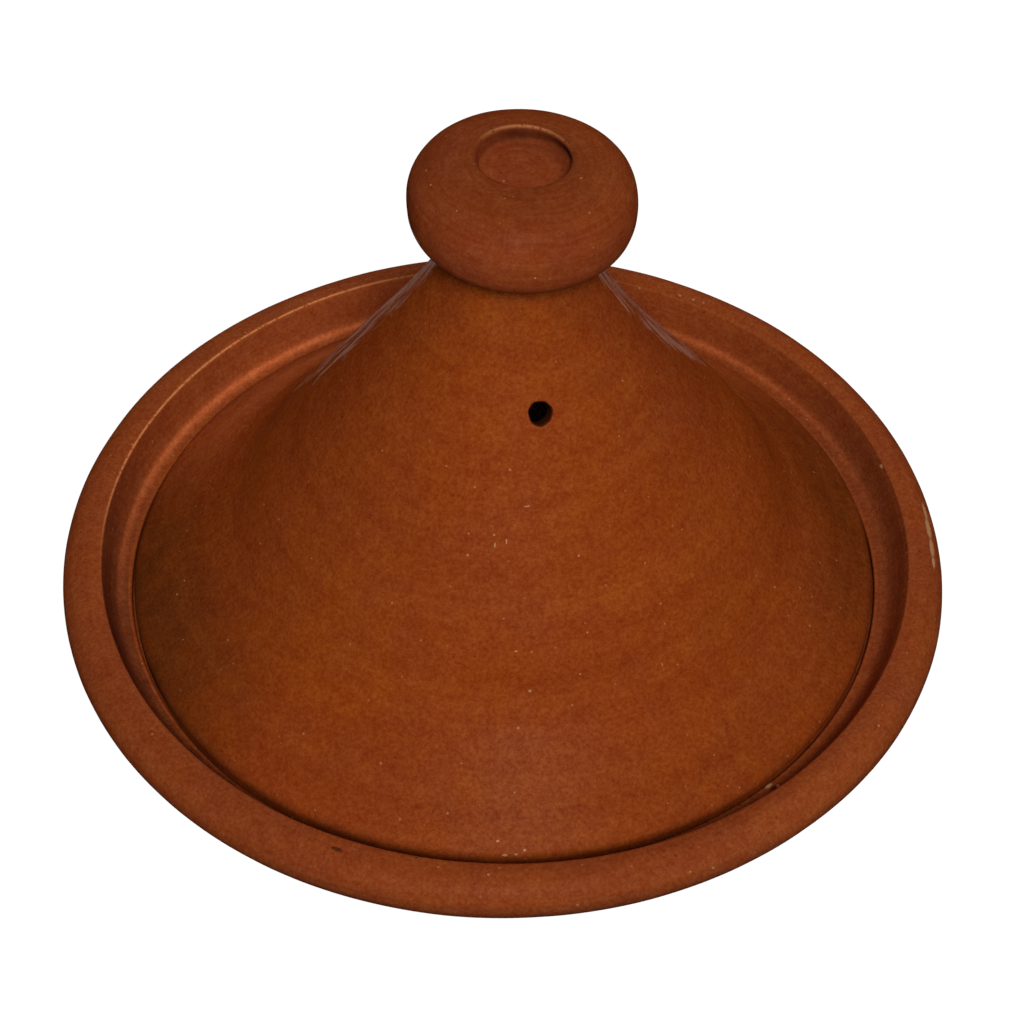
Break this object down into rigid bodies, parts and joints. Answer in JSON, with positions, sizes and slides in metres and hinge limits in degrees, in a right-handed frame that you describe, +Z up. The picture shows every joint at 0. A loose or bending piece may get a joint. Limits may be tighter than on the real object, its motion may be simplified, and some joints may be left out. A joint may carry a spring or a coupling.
{
  "type": "tagine",
  "caption": "Unglazed clay cooking pot: a shallow heavy dish with a rolled rim and a gallery, and a hollow conical lid with a steam vent and a round knob that stands loose in the gallery.",
  "frame": {"origin": "centre of the dish's flat foot, on the surface that it stands on", "axes": "+Z up along the dish's axis, -Y towards the side that the steam vent faces, +X towards the side that the lid's neck leans to"},
  "size_m": [0.299, 0.299, 0.2225],
  "materials": {
    "dish_clay": "unglazed burnished terracotta, satin",
    "lid_clay": "unglazed burnished terracotta, satin"
  },
  "bodies": {
    "dish": {"base_dish": "dish_clay"},
    "lid": {"lid_cone": "lid_clay", "lid_knob": "lid_clay"}
  },
  "joints": [
    {"name": "lid_lift", "type": "slide", "parent": "dish", "child": "lid", "axis": [0, 0, 1], "range_m": [0, 0.2]}
  ]
}
